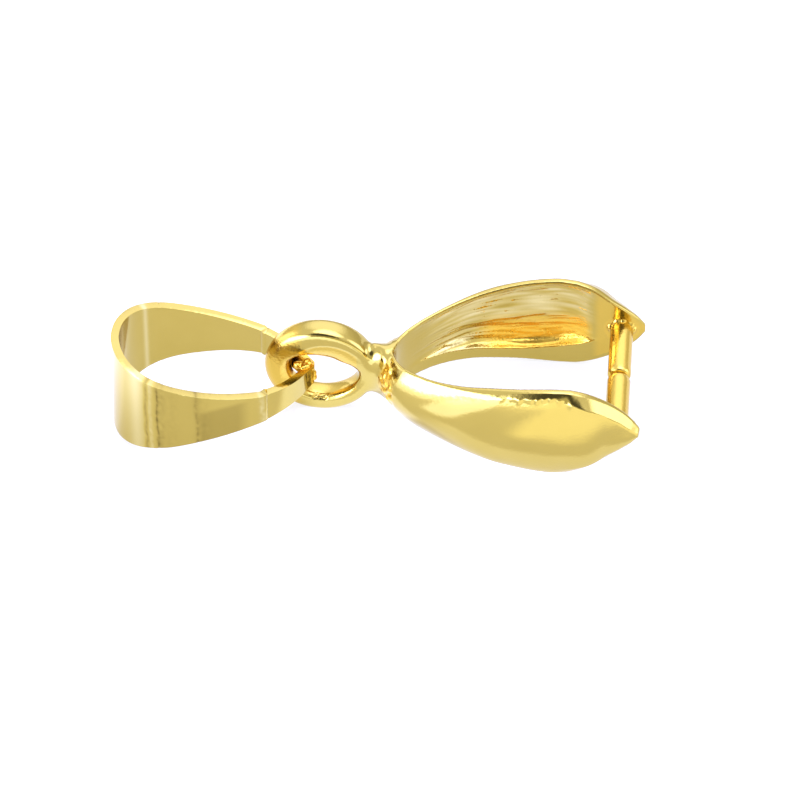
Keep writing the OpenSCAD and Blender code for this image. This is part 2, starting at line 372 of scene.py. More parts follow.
# %% The ring with its swelling hole
# Angle from the neck's side in degrees; reach of the metal at the middle of the thickness;
# reach of the hole's edge on the faces; share of the cut form
RING_ROWS = [
    (0, 1.42, 1.72, 0.9),
    (10, 1.20, 1.70, 1.0),
    (28, 0.80, 1.66, 1.0),
    (50, 0.66, 1.56, 1.0),
    (78, 0.60, 1.43, 1.0),
    (101, 0.66, 1.33, 1.0),
    (122, 0.82, 1.24, 0.8),
    (142, 1.02, 1.20, 0.4),
    (160, 1.13, 1.16, 0.0),
    (180, 1.14, 1.14, 0.0),
    (215, 1.15, 1.18, 0.1),
    (250, 1.24, 1.30, 0.4),
    (270, 1.28, 1.36, 0.5),
    (300, 1.32, 1.50, 0.6),
    (330, 1.40, 1.64, 0.8),
    (348, 1.45, 1.70, 0.9),
    (360, 1.42, 1.72, 0.9),
]
RING_SIDES, RING_STEPS = 60, 180
# Power of the bow of the wire's outer side and of the swelling, and the swelling's half width at
# its edge as a share of the wire's
WIRE_BOW, HOLE_BOW, HOLE_EDGE = 0.69, 0.8, 0.92


def ring_section(angle):
    """The outline across the ring: a round wire blended with the cut form of the hole."""
    _, inner, edge, cut = smooth(RING_ROWS, math.degrees(angle))
    cut = min(1.0, max(0.0, cut))
    middle, shoulder = (RING_OUT_R + inner) / 2, (RING_OUT_R + edge) / 2
    points = []
    for k in range(RING_SIDES):
        t = 2 * math.pi * k / RING_SIDES
        c, s = math.cos(t), math.sin(t)
        side = math.copysign(1, s)
        # way: 0 on a face, 1 in the middle of the thickness
        way = 1 - abs(t / math.pi - 1) * 2
        if way <= 0:
            reach = shoulder + (RING_OUT_R - shoulder) * max(0.0, c) ** WIRE_BOW
            depth = side * WIRE_R * abs(s) ** WIRE_BOW
        elif way < 1 / 3:
            reach, depth = shoulder + (edge - shoulder) * way * 3, side * WIRE_R * (1 - 0.1 * way)
        else:
            q = (way * 3 - 1) / 2 * math.pi / 2
            reach = edge + (inner - edge) * math.sin(q) ** HOLE_BOW
            depth = side * HOLE_EDGE * WIRE_R * abs(math.cos(q))
        reach = middle + c * (RING_OUT_R - middle) + cut * (reach - middle - c * (RING_OUT_R - middle))
        depth = s * WIRE_R + cut * (depth - s * WIRE_R)
        points.append((RING_X + reach * math.cos(angle), depth, MID_Z + reach * math.sin(angle)))
    return points


turns = [2 * math.pi * k / RING_STEPS for k in range(RING_STEPS)]
ring = skin("ring", [ring_section(angle) for angle in turns], closed=True)
print("ring sections:", RING_STEPS, "of", RING_SIDES, "points")

# %% [markdown]
# The neck swells out of the ring's wire, and at the fork it spreads into a web between the two
# shells that reaches further towards the far one.

# %% The neck between the ring and the fork
# along, high, deep, drift: shares of the way from the ring's wire to the fork, of NECK_H, of
# NECK_D and of FORK_DRIFT
NECK_ROWS = [
    (0.05, 0.62, 0.60, 0.00),
    (0.14, 0.84, 0.80, 0.00),
    (0.30, 0.96, 0.94, 0.05),
    (0.50, 0.98, 1.02, 0.15),
    (0.70, 1.00, 1.38, 0.50),
    (0.86, 1.00, 1.70, 0.50),
    (0.97, 1.00, 1.96, 0.10),
]
NECK_STEPS, NECK_SIDES = 40, 48
rings = []
for along in np.linspace(NECK_ROWS[0][0], NECK_ROWS[-1][0], NECK_STEPS):
    _, high, deep, drift = smooth(NECK_ROWS, along)
    x = RING_X + RING_R + along * (FORK_X - RING_X - RING_R)
    rings.append([
        (x, deep * NECK_D / 2 * math.cos(t) - drift * FORK_DRIFT, MID_Z + high * NECK_H / 2 * math.sin(t))
        for t in np.linspace(0, 2 * math.pi, NECK_SIDES, endpoint=False)
    ])
neck = skin("neck", rings)
print("neck sections:", len(rings), "of", NECK_SIDES, "points")

# %% [markdown]
# Solder shows as small beads at the roots of the pins and where the ends of the loop meet. The
# beads repeat, so Geometry Nodes set a small ball of random size on each point they are given.

# %% The two finishes, whose shaders come near the end
finish = bpy.data.materials.new("polished_gilt_sheet")
cast_finish = bpy.data.materials.new("polished_gilt_casting")


# %% How each tree of Geometry Nodes begins, ends and is run
def begin_tree(name, labels):
    """A tree with one geometry in and one out, and a number in for each label."""
    tree = bpy.data.node_groups.new(name, "GeometryNodeTree")
    tree.interface.new_socket("Geometry", in_out="INPUT", socket_type="NodeSocketGeometry")
    for label in labels:
        tree.interface.new_socket(label, in_out="INPUT", socket_type="NodeSocketFloat")
    tree.interface.new_socket("Geometry", in_out="OUTPUT", socket_type="NodeSocketGeometry")
    return tree, node(tree, "NodeGroupInput").outputs


def end_tree(tree, geometry, material):
    real = node(tree, "GeometryNodeRealizeInstances", {"Geometry": geometry})
    dressed = node(tree, "GeometryNodeSetMaterial", {"Geometry": real.outputs[0], "Material": material})
    node(tree, "NodeGroupOutput", {"Geometry": dressed.outputs[0]})


def run_tree(obj, tree, values):
    """The object's shape after the tree, with each value given by its input's identifier."""
    step = obj.modifiers.new(tree.name, "NODES")
    step.node_group = tree
    for item in tree.interface.items_tree:
        if item.item_type == "SOCKET" and item.in_out == "INPUT" and item.name in values:
            step[item.identifier] = values[item.name]
    return apply_modifiers(obj)


# %% The tree that sets beads on points
beads_tree, given = begin_tree("set beads", ("Smallest", "Largest"))
ball = node(beads_tree, "GeometryNodeMeshIcoSphere", {"Radius": 1.0, "Subdivisions": 3})
sizes = {2: given["Smallest"], 3: given["Largest"], "Seed": 11}
size = node(beads_tree, "FunctionNodeRandomValue", sizes, data_type="FLOAT")
each = node(
    beads_tree,
    "GeometryNodeInstanceOnPoints",
    {"Points": given["Geometry"], "Instance": ball.outputs[0], "Scale": size.outputs[1]},
)
end_tree(beads_tree, each.outputs[0], cast_finish)


def beads(name, points, smallest, largest):
    sizes = {"Smallest": smallest, "Largest": largest}
    return run_tree(mesh_object(name, points, []), beads_tree, sizes)


# %% Beads round the roots of the pins
ROOT_BEADS, ROOT_BEAD_SIZES = 13, (0.05, 0.17)
root_row = smooth(SHELL_ROWS, 1 - PIN_SET_BACK / SHELL_LEN)
root_y = root_row[1] * JAW_GAP / 2
spots = []
for side in (-1, 1):
    for k in range(ROOT_BEADS):
        t = 2 * math.pi * (k + 0.7 * noise.noise(Vector((k * 2.9, side, 8)))) / ROOT_BEADS
        r = PIN_R * (1.0 + 0.25 * noise.noise(Vector((k * 1.7, side, 0))))
        y = side * (root_y + 0.03 + 0.1 * noise.noise(Vector((k * 1.3, side, 3))))
        spots.append((PIN_X + r * math.cos(t), y, MID_Z + r * math.sin(t)))
root_beads = beads("root_beads", spots, *ROOT_BEAD_SIZES)
print("beads at the pins:", len(spots))

# %% [markdown]
# One voxel remesh melts the skins together, and a short smoothing takes its steps away. The
# grid is as fine as the limit on triangles lets it be.

# %% Melt them into one casting
VOXEL, EVEN_TIMES = 0.052, 3


def joined(name, parts):
    points, faces = [], []
    for part in parts:
        start = len(points)
        points += [tuple(v.co) for v in part.data.vertices]
        faces += [tuple(start + i for i in p.vertices) for p in part.data.polygons]
        bpy.data.objects.remove(part)
    return mesh_object(name, points, faces)


def tree_of(obj):
    data = obj.data
    faces = [tuple(p.vertices) for p in data.polygons]
    return BVHTree.FromPolygons([v.co.copy() for v in data.vertices], faces)


clean_shells, clean_ring = tree_of(shells), tree_of(ring)
SECTION = len(rings_of_shells[0])
casting = joined("cast_clasp", [shells, ring, neck, root_beads])
remesh = casting.modifiers.new("melt", "REMESH")
remesh.mode = "VOXEL"
remesh.voxel_size = VOXEL
even = casting.modifiers.new("even", "SMOOTH")
even.factor, even.iterations = 0.5, EVEN_TIMES
apply_modifiers(casting)
print("casting:", len(casting.data.polygons), "faces of four sides")

# %% [markdown]
# Molten wax and metal fill inner corners and leave outer ones sharp. So each point near the neck
# moves towards the middle of its neighbours again and again, but only where that is outwards.

# %% Fillets: inner corners fill up, outer ones stay
FILL_TIMES, SEAM_TIMES = 280, 90


def columns(data):
    spots = np.empty(len(data.vertices) * 3)
    data.vertices.foreach_get("co", spots)
    normals = np.empty(len(data.vertices) * 3)
    data.vertex_normals.foreach_get("vector", normals)
    return spots.reshape(-1, 3), normals.reshape(-1, 3)


def fill_corners(data, weight, times):
    """Each point moves to the middle of its neighbours, but only ever outwards."""
    ends = np.empty(len(data.edges) * 2, int)
    data.edges.foreach_get("vertices", ends)
    ends = ends.reshape(-1, 2)
    live = (weight[ends[:, 0]] > 0) | (weight[ends[:, 1]] > 0)
    ends = np.vstack([ends[live], ends[live][:, ::-1]])
    count = np.maximum(np.bincount(ends[:, 0], minlength=len(weight)), 1)
    for step in range(times):
        if step % 15 == 0:
            spots, normals = columns(data)
        middle = np.stack([np.bincount(ends[:, 0], spots[ends[:, 1], k], len(weight)) for k in range(3)], 1)
        way = middle / count[:, None] - spots
        outwards = (way * normals).sum(1)
        spots = spots + way * (0.6 * weight * (outwards > 0))[:, None]
        if step % 15 == 14 or step == times - 1:
            data.vertices.foreach_set("co", spots.ravel())
            data.update()


spots, normals = columns(casting.data)
x = spots[:, 0]
in_fork = (x > 0.3) & (normals[:, 0] > 0.3)
near_neck = fade(-0.8, -0.45, x) * (1 - fade(0.9, 1.5, x)) * ~in_fork
fill_corners(casting.data, near_neck, FILL_TIMES)
# A light fill where the two shells meet inside the fork
spots, normals = columns(casting.data)
x, off_middle = spots[:, 0], np.abs(spots[:, 1] + FORK_DRIFT)
fork_seam = (x > 0.3) & (normals[:, 0] > 0.3)
fork_seam = fork_seam * (1 - fade(0.9, 1.3, x)) * (1 - fade(0.5, 0.9, off_middle))
fill_corners(casting.data, fork_seam, SEAM_TIMES)
print("points in the fillets:", int((near_neck > 0).sum() + (fork_seam > 0).sum()))

# %% [markdown]
# The melt and its smoothing have blurred the shells and the ring, so their points go back to
# the clean skins. The skin's nearest face also tells what part of the section a point is on,
# and so how rough its surface is. Two values are kept on each point for the shaders. The first
# is 0 where the metal was polished and 1 where it is as it came out of the mould. It makes
# the metal rougher and more orange, and in the hollow's lower side and the crevice that orange
# is painted reflection, the glow of gold round a cavity. The second is above 0 on a dark
# scratch and below 0 where the metal is paler. On the strip it also holds painted shade and
# painted highlights.

# %% Back to the clean skins, and which places stayed as cast
# A point this near to a skin lies on it, or is only a little off it
ON_SKIN, NEAR_SKIN = 0.05, 0.1
# Roughness and orange of the hollow's upper side and what its lower side adds, of the tip's
# inside, of the solder at the pins, of the ring's hole and of the ring's left side. The orange
# that the lower side adds is painted reflection
HOLLOW_CAST, LOW_CAST_AND_GLOW, TIP_CAST, SOLDER_CAST, HOLE_CAST, WORN_CAST = 0.05, 0.85, 0.3, 0.4, 0.25, 0.45
# How far round a pin's root the solder reaches, out from the pin and along it
SOLDER_OUT, SOLDER_ALONG = 0.25, 0.3
# Where the hollow's marks and the tip's inside begin along the axis, and where the ring ends
LEAF_FROM, TIP_FROM, RING_TO = 0.7, 7.9, -0.8
POCKET_END = POCKET_START + AROUND
spots, _ = columns(casting.data)
as_cast_and_glow, marks_and_light = np.zeros(len(spots)), np.zeros(len(spots))
for i, spot in enumerate(spots):
    x, y, z = spot
    at_root = math.hypot(x - PIN_X, z - MID_Z) < PIN_R + SOLDER_OUT and abs(abs(y) - root_y) < SOLDER_ALONG
    on_shell, _, face, gap = clean_shells.find_nearest(spot)
    pull = float(fade(0.9, 1.6, x)) * (gap < ON_SKIN or not at_root)
    if pull > 0:
        spots[i] = spot + pull * (np.array(on_shell) - spot)
    across = face % SECTION
    if x > LEAF_FROM and gap < NEAR_SKIN and POCKET_START < across < POCKET_END:
        row = stations[min(face // SECTION, len(stations) - 1)][0]
        low = fade(0.45, 0.7, (across - POCKET_START) / AROUND) * fade(0.3, 0.42, row[0])
        hollow = fade(0.1, 0.6, row[4])
        # The orange laid on the hollow's lower side is painted reflection, the glow of a gold cavity
        as_cast_and_glow[i] = (HOLLOW_CAST + LOW_CAST_AND_GLOW * low) * hollow
        # Fine scratches of the burr run along the leaf
        scratch = noise.noise(Vector((row[0] * 8.0, (z - MID_Z) / (row[2] * LEAF_H / 2) * 14.0, 7.0)))
        marks_and_light[i] = (-0.3 * (1 - low) + (0.6 - 0.1 * low) * scratch) * hollow
    in_hollow = POCKET_START - UPPER_FACE < across < POCKET_END + LOWER_FACE
    if x > TIP_FROM and gap < NEAR_SKIN and in_hollow:
        as_cast_and_glow[i] = max(as_cast_and_glow[i], TIP_CAST * fade(TIP_FROM, TIP_FROM + 0.4, x))
    if at_root:
        as_cast_and_glow[i] = max(as_cast_and_glow[i], SOLDER_CAST)
    if x < RING_TO:
        on_ring, _, face, _ = clean_ring.find_nearest(spot)
        spots[i] = spot + float(fade(-RING_TO, 0.6 - RING_TO, -x)) * (np.array(on_ring) - spot)
        # The middle third of the section's points are the wall of the hole
        if RING_SIDES / 3 < face % RING_SIDES < RING_SIDES * 2 / 3:
            as_cast_and_glow[i] = HOLE_CAST
        as_cast_and_glow[i] = max(as_cast_and_glow[i], WORN_CAST * fade(-2.75, -3.2, x))
casting.data.vertices.foreach_set("co", spots.ravel())
casting.data.update()
print("points left as cast:", int((as_cast_and_glow > 0).sum()), "of", len(as_cast_and_glow))

# %% [markdown]
# Casting leaves pits where the metal did not quite fill the mould: some on the lower edge of
# the ring's hole, and a rough crevice where the neck meets the fork.

# %% Pits and the rough crevice
# Place in mm and radius of each pit
PITS = [
    (-2.36, -0.44, 0.80, 0.10),
    (-2.16, -0.45, 0.78, 0.09),
    (-1.99, -0.44, 0.80, 0.11),
    (-1.80, -0.45, 0.83, 0.07),
    (-2.26, -0.34, 0.86, 0.07),
    (-1.90, -0.36, 0.88, 0.06),
]
# Depth of a pit as a share of its radius, and height of the crevice's lumps and their roughness
# and orange. The orange in the crevice is painted reflection, the glow of gold round a cavity
PIT_SHARE, CREVICE_D, CREVICE_CAST_AND_GLOW = 0.8, 0.09, 0.7
spots, normals = columns(casting.data)
for px, py, pz, r in PITS:
    far = np.linalg.norm(spots - (px, py, pz), axis=1)
    spots -= normals * (np.clip(1 - (far / r) ** 2, 0, 1) * r * PIT_SHARE)[:, None]
x, y, z = spots.T
crevice = fade(-0.15, 0.1, x) * (1 - fade(0.45, 0.75, x)) * fade(0.3, 0.55, np.abs(y + FORK_DRIFT))
crevice *= (normals[:, 0] < 0.2) * (1 - fade(0.6, 1.0, np.abs(z - MID_Z - 0.25)))
for i in np.nonzero(crevice > 0.01)[0]:
    spots[i] += normals[i] * crevice[i] * CREVICE_D * noise.noise(Vector(spots[i]) * 5.0)
# Painted reflection: the crevice gets the raw orange as well as the roughness
as_cast_and_glow = np.maximum(as_cast_and_glow, CREVICE_CAST_AND_GLOW * crevice)
casting.data.vertices.foreach_set("co", spots.ravel())
casting.data.attributes.new("as_cast_and_glow", "FLOAT", "POINT").data.foreach_set("value", as_cast_and_glow)
casting.data.attributes.new("marks_and_light", "FLOAT", "POINT").data.foreach_set("value", marks_and_light)
casting.data.update()
print("pits:", len(PITS), "points in the crevice:", int((crevice > 0.01).sum()))

# %% [markdown]
# The pins
#
# Each pin is a short drawn wire with a slightly domed end, soldered into its shell. The two
# meet end to end in the middle of the bead's hole.

# %% Pins
PIN_ROWS, PIN_SIDES, PIN_CAST = 14, 48, 0.35
# Share of the belly's depth that a pin's root reaches into, and where its even rows begin
PIN_IN, PIN_FROM = 0.6, 0.4
# The domed end: how far each row lies behind the end, and its share of the pin's radius
PIN_END = [(0.0, 0.0), (0.0, 0.55), (0.02, 0.8), (0.07, 0.93), (0.16, 1.0)]


def pin_object(name, side):
    root = root_y + root_row[3] * BELLY_D * PIN_IN
    stretch = [(PIN_GAP / 2 + behind, share) for behind, share in PIN_END]
    stretch += [(y, 1.0) for y in np.linspace(PIN_FROM, root, PIN_ROWS)]
    rings = []
    for y, share in stretch:
        r = max(share, 0.02) * PIN_R
        rings.append([
            (PIN_X + r * math.cos(t), side * y, MID_Z + r * math.sin(t))
            for t in np.linspace(0, -side * 2 * math.pi, PIN_SIDES, endpoint=False)
        ])
    return skin(name, rings)


pins = {"far_pin": pin_object("far_pin", 1), "near_pin": pin_object("near_pin", -1)}
for pin in pins.values():
    satin = pin.data.attributes.new("as_cast_and_glow", "FLOAT", "POINT")
    satin.data.foreach_set("value", np.full(len(pin.data.vertices), PIN_CAST))
print("pins:", list(pins))

# %% [markdown]
# The loop bail
#
# A tapered strip of sheet, folded round so that its two narrow ends meet inside the ring. It
# follows a rule along its whole length, so Geometry Nodes bend it: a flat grid is the blank,
# each point of it finds its place on the path, and its height there comes from the taper.

# %% The path of the strip, from the near end round the fold to the far end
# Power of the fold's superellipse and of the arms' bow, and steps of the fold, an arm and a tail
FOLD_POWER, ARM_BOW = 2.25, 2.2
FOLD_STEPS, ARM_STEPS, TAIL_STEPS = 40, 24, 18


def arm_path():
    """The far half of the path: a quarter of the fold, then an arm and its narrow tail."""
    fold_x = TAIL_LEN - LOOP_LEN + SHEET_T / 2
    widest_x = fold_x + FOLD_LEN - SHEET_T / 2
    points = []
    for k in range(FOLD_STEPS + 1):
        t = math.pi / 2 * k / FOLD_STEPS
        along = widest_x - (widest_x - fold_x) * math.cos(t) ** (2 / FOLD_POWER)
        points.append((along, WIDEST_HALF * math.sin(t) ** (2 / FOLD_POWER)))
    for k in range(1, ARM_STEPS + 1):
        s = k / ARM_STEPS
        along = widest_x + s * (-WIRE_R - widest_x)
        points.append((along, WIDEST_HALF - (WIDEST_HALF - CREASE_HALF) * s**ARM_BOW))
    for k in range(1, TAIL_STEPS + 1):
        s = k / TAIL_STEPS
        points.append((s * BEND_LEN - WIRE_R, tail_half(s)))
    return points


half_path = arm_path()
path = [(x, -y) for x, y in half_path[:0:-1]] + half_path
print("strip path:", len(path), "points")
data = bpy.data.curves.new("slide_bail_path", "CURVE")
data.dimensions = "3D"
spline = data.splines.new("POLY")
spline.points.add(len(path) - 1)
for point, (x, y) in zip(spline.points, path):
    point.co = (x, y, 0, 1)
path_object = bpy.data.objects.new("loop_bail", data)
bpy.context.scene.collection.objects.link(path_object)

# %% The tree that bends the blank
TAPER_POWER = 1.5
STRIP_SIZES = {
    "Fold height": STRIP_H,
    "End height": STRIP_END_H,
    "Loop length": LOOP_LEN,
    "Tail length": TAIL_LEN,
    "Lean": math.tan(math.radians(ARM_FLARE)),
    "Widest half": WIDEST_HALF,
}
tree, given = begin_tree("bend the strip", STRIP_SIZES)
grid = {"Size X": 1.0, "Size Y": 2.0, "Vertices X": 501, "Vertices Y": 29}
blank = node(tree, "GeometryNodeMeshGrid", grid)
spot = node(tree, "GeometryNodeInputPosition").outputs[0]
flat = node(tree, "ShaderNodeSeparateXYZ", {0: spot}).outputs
factor = node(tree, MATH, {0: flat["X"], 1: 0.5}, operation="ADD").outputs[0]
route = {"Curves": given["Geometry"], "Factor": factor}
on_path = node(tree, "GeometryNodeSampleCurve", route, mode="FACTOR", use_all_curves=True).outputs
place = node(tree, "ShaderNodeSeparateXYZ", {0: on_path["Position"]}).outputs
upright = {0: on_path["Tangent"], 1: (0, 0, 1)}
out_from = node(tree, VECTOR_MATH, upright, operation="CROSS_PRODUCT").outputs[0]

# %% Height of the strip, by a power of the way that is left to its end
left = node(tree, MATH, {0: given["Tail length"], 1: place["X"]}, operation="SUBTRACT").outputs[0]
way = node(tree, MATH, {0: left, 1: given["Loop length"]}, operation="DIVIDE", use_clamp=True).outputs[0]
bowed = node(tree, MATH, {0: way, 1: TAPER_POWER}, operation="POWER").outputs[0]
heights = {0: given["Fold height"], 1: given["End height"]}
rise = node(tree, MATH, heights, operation="SUBTRACT").outputs[0]
terms = {0: bowed, 1: rise, 2: given["End height"]}
tall = node(tree, MATH, terms, operation="MULTIPLY_ADD").outputs[0]
full_z = node(tree, MATH, {0: tall, 1: flat["Y"]}, operation="MULTIPLY").outputs[0]
half_z = node(tree, MATH, {0: full_z, 1: 0.5}, operation="MULTIPLY").outputs[0]

# %% The arms lean outwards at their lower edges, more the further they stand apart
wide = node(tree, MATH, {0: place["Y"]}, operation="ABSOLUTE").outputs[0]
wide_share = node(tree, MATH, {0: wide, 1: given["Widest half"]}, operation="DIVIDE").outputs[0]
lean = node(tree, MATH, {0: half_z, 1: given["Lean"]}, operation="MULTIPLY").outputs[0]
lean = node(tree, MATH, {0: lean, 1: wide_share}, operation="MULTIPLY").outputs[0]
pushed = node(tree, VECTOR_MATH, {0: out_from, "Scale": lean}, operation="SCALE").outputs[0]
raised = node(tree, "ShaderNodeCombineXYZ", {"Z": half_z}).outputs[0]
spot = node(tree, VECTOR_MATH, {0: on_path["Position"], 1: pushed}, operation="ADD").outputs[0]
spot = node(tree, VECTOR_MATH, {0: spot, 1: raised}, operation="ADD").outputs[0]
bent = node(tree, "GeometryNodeSetPosition", {"Geometry": blank.outputs["Mesh"], "Position": spot})
end_tree(tree, bent.outputs[0], finish)
loop_bail = run_tree(path_object, tree, STRIP_SIZES)
loop_bail.name = "loop_bail"
print("bent blank:", len(loop_bail.data.vertices), "points")

# %% [markdown]
# The sheet was held in a tool while it was bent, and the tool left a nick where each flap
# begins, upright marks across the near arm, and a gentle wave along them. Painted light goes
# with those lines: soft painted shade beside them and over the near arm, and painted
# highlights in pale stripes on the arms and on the fold.

# %% Crease, bend marks, painted shade and highlights, and waves of the sheet
# The flaps past the crease lie a little lower than the arms, with a nick where they bend
CREASE_X, FLAP_DROP, NICK_D, NICK_W = -0.47, 0.05, 0.06, 0.045
# Place along the loop and width in mm, and strength. Above 0 a mark is dark: the narrow ones are
# tool lines and the broad soft ones painted shade. Below 0 it is a painted highlight
BEND_MARKS_AND_LIGHT = [
    (-4.87, 0.07, 0.75),
    (-4.73, 0.08, -0.35),
    (-4.47, 0.06, 1.1),
    (-4.34, 0.12, 0.3),
    (-4.00, 0.30, 0.1),
    (-3.05, 0.07, 0.5),
    (-2.80, 0.25, 0.12),
    (-0.62, 0.10, -0.5),
    (-0.50, 0.03, 0.9),
]
# Painted highlights in pale stripes on the outside of the fold and inside the far arm
FOLD_HIGHLIGHT, FAR_HIGHLIGHT = (-5.2, 0.25, -0.35), (-5.05, 0.09, -0.4)
WAVE_D = 0.02


def stripe(x, spot, width, depth):
    return math.exp(-(((x - spot) / width) ** 2)) * depth


def near_painted_shade(x, z):
    """Painted shade over the near arm, for a darker reflection, past its middle only below a slanting line.
    """
    left = max(0.0, TAIL_LEN - x) / LOOP_LEN
    tall = STRIP_END_H + (STRIP_H - STRIP_END_H) * left**TAPER_POWER
    line = 0.3 + 0.28 * (x + 2.7)
    past = fade(-3.1, -2.8, x)
    shade = (0.1 + 0.24 * past) * fade(-4.4, -4.2, x) * (1 - fade(-1.6, -1.0, x))
    return shade * (1 - fade(line - 0.1, line + 0.15, 2 * z / tall) * past)


marks_and_light = np.zeros(len(loop_bail.data.vertices))
for v in loop_bail.data.vertices:
    x, y, z = v.co
    inwards = -math.copysign(1, y)
    wide = abs(y) / WIDEST_HALF
    drop = FLAP_DROP * float(fade(CREASE_X - 0.02, CREASE_X + 0.05, x)) * float(fade(0.0, 0.4, abs(y)))
    drop += stripe(x, CREASE_X, NICK_W, NICK_D) * (abs(y) > 0.5)
    wave = WAVE_D * noise.noise(Vector((x * 0.7, y * 0.7, z * 0.5)))
    rough = 0.6 + 0.7 * noise.noise(Vector((x * 7, math.copysign(4, y), z * 5)))
    for spot, width, depth in BEND_MARKS_AND_LIGHT:
        wander = spot + 0.05 * noise.noise(Vector((spot, z * 1.1, y)))
        line = stripe(x, wander, width, depth) * max(0.0, min(1.0, rough)) * wide
        wave += WAVE_D * abs(line)
        if y < 0:
            marks_and_light[v.index] += line
    # The near arm takes painted shade and a painted highlight on the fold, and the far arm a painted
    # highlight
    if y < 0:
        marks_and_light[v.index] += near_painted_shade(x, z) + stripe(x, *FOLD_HIGHLIGHT)
    else:
        marks_and_light[v.index] += stripe(x, *FAR_HIGHLIGHT)
    v.co.y += inwards * (drop + wave)
loop_bail.data.attributes.new("as_cast_and_glow", "FLOAT", "POINT")
loop_bail.data.attributes.new("marks_and_light", "FLOAT", "POINT").data.foreach_set("value", marks_and_light)
print("marked points of the strip:", int((np.abs(marks_and_light) > 0.05).sum()))

# %% Thickness and worn edges
EDGE_R, EDGE_ANGLE = 0.11, 50
wall = loop_bail.modifiers.new("wall", "SOLIDIFY")
wall.thickness = SHEET_T
wall.offset = 0
wall.use_even_offset = True
edges = loop_bail.modifiers.new("edges", "BEVEL")
edges.width = EDGE_R
edges.segments = 3
edges.limit_method = "ANGLE"
edges.angle_limit = math.radians(EDGE_ANGLE)
apply_modifiers(loop_bail)
print("strip with its thickness:", len(loop_bail.data.polygons), "faces")

# %% Beads of solder at the meeting ends, melted together
# Beads along the seam, on the near end's upper edge and in the fork of the two ends
SEAM_BEADS, EDGE_BEADS, FORK_BEADS = 22, 4, 7
SOLDER_SIZES, SOLDER_VOXEL = (0.08, 0.18), 0.03
SEAM_CAST, BEAD_CAST = 0.8, 0.7
spots = []
for k in range(SEAM_BEADS):
    share = k / (SEAM_BEADS - 1) - 0.5
    wander = [noise.noise(Vector((k * 2.3, 7.0 * axis, 1.0))) for axis in range(3)]
    spots.append((TAIL_LEN - 0.08 + 0.3 * wander[0], 0.28 * wander[1], share * 1.05 + 0.1 * wander[2]))
for k in range(EDGE_BEADS):
    share = k / 8
    wander = noise.noise(Vector((k * 3.1, 5.0, 2.0)))
    spots.append((TAIL_LEN - 0.15 - 0.5 * share, -0.12 - 0.32 * share, 0.43 + 0.07 * share + 0.05 * wander))
for k in range(FORK_BEADS):
    wander = noise.noise(Vector((k * 1.9, 3.0, 6.0)))
    spots.append((TAIL_LEN - 0.2 - 0.055 * k, 0.1 * wander, 0.38 + 0.1 * wander))
solder = beads("solder", spots, *SOLDER_SIZES)
melt = solder.modifiers.new("melt", "REMESH")
melt.mode = "VOXEL"
melt.voxel_size = SOLDER_VOXEL
calm = solder.modifiers.new("calm", "SMOOTH")
calm.factor, calm.iterations = 0.5, 1
apply_modifiers(solder)
print("beads of solder at the ends:", len(spots))

# %% The strip and its solder, joined and turned to where the loop hangs
strip_points, solder_points = len(loop_bail.data.vertices), len(solder.data.vertices)
spots, normals = columns(loop_bail.data)
outer_near = (normals[:, 1] <= -0.4) & (spots[:, 1] <= 0)
soldered = SEAM_CAST * fade(0.55, 1.05, spots[:, 0]) * ~outer_near
marks_and_light = np.zeros(strip_points)
loop_bail.data.attributes["marks_and_light"].data.foreach_get("value", marks_and_light)
values = {
    "marks_and_light": np.append(marks_and_light, np.zeros(solder_points)),
    "as_cast_and_glow": np.append(soldered, np.full(solder_points, BEAD_CAST)),
}
loop_bail = joined("loop_bail", [loop_bail, solder])
for name, each in values.items():
    loop_bail.data.attributes.new(name, "FLOAT", "POINT").data.foreach_set("value", each)
c, s = math.cos(turn), math.sin(turn)
for v in loop_bail.data.vertices:
    x, y, z = v.co
    y += LOOP_SHIFT
    v.co = (WIRE_X + x * c - y * s, x * s + y * c, STRIP_MID_Z + z)
print("loop bail:", len(loop_bail.data.polygons), "faces")

# %% [markdown]
# Gold-plated brass
#
# Plating follows whatever lies under it. The outside was polished before it went into the
# bath, so it is a mirror with the faint ripple of a buffing wheel. The hollow was left as it
# came out of the mould, so it is duller and lined. Gold colours its own reflections. On top of
# that, a raw orange is laid on the places left as cast, and in the hollow's lower side and the
# crevice it is painted reflection. Dark and pale tones are laid over the gold too, and on the
# strip they are partly painted shade and painted highlights.

# %% What the two finishes share
# The buffing ripple is about 1.4 mm long. The grain of the casting is really a few hundredths of
# a millimetre, and is drawn coarser here, at about 0.11 mm, so that it shows
RIPPLES_PER_M, GRAINS_PER_M = 700.0, 9000.0
RIPPLE_DEPTH, GRAIN_DEPTH = 0.0001, 0.00002
GOLD, GOLD_DEEP = linear("#c5ae59"), linear("#bda651")
# Dark is for scratches, tool lines and painted shade. Pale is for a paler tone and painted highlights. Raw
# orange is for metal as cast and painted reflection in the cavities
SCRATCH_AND_SHADE, PALE_AND_HIGHLIGHT, RAW_AND_GLOW = linear("#6e5a24"), linear("#f2e6b0"), linear("#fbcb4a")
# How much the grain stands out and how much duller the metal is where it stayed as cast, and
# how much duller it is on a full mark
RAW_GRAIN, RAW_DULL, MARK_DULL = 0.8, 0.2, 0.15


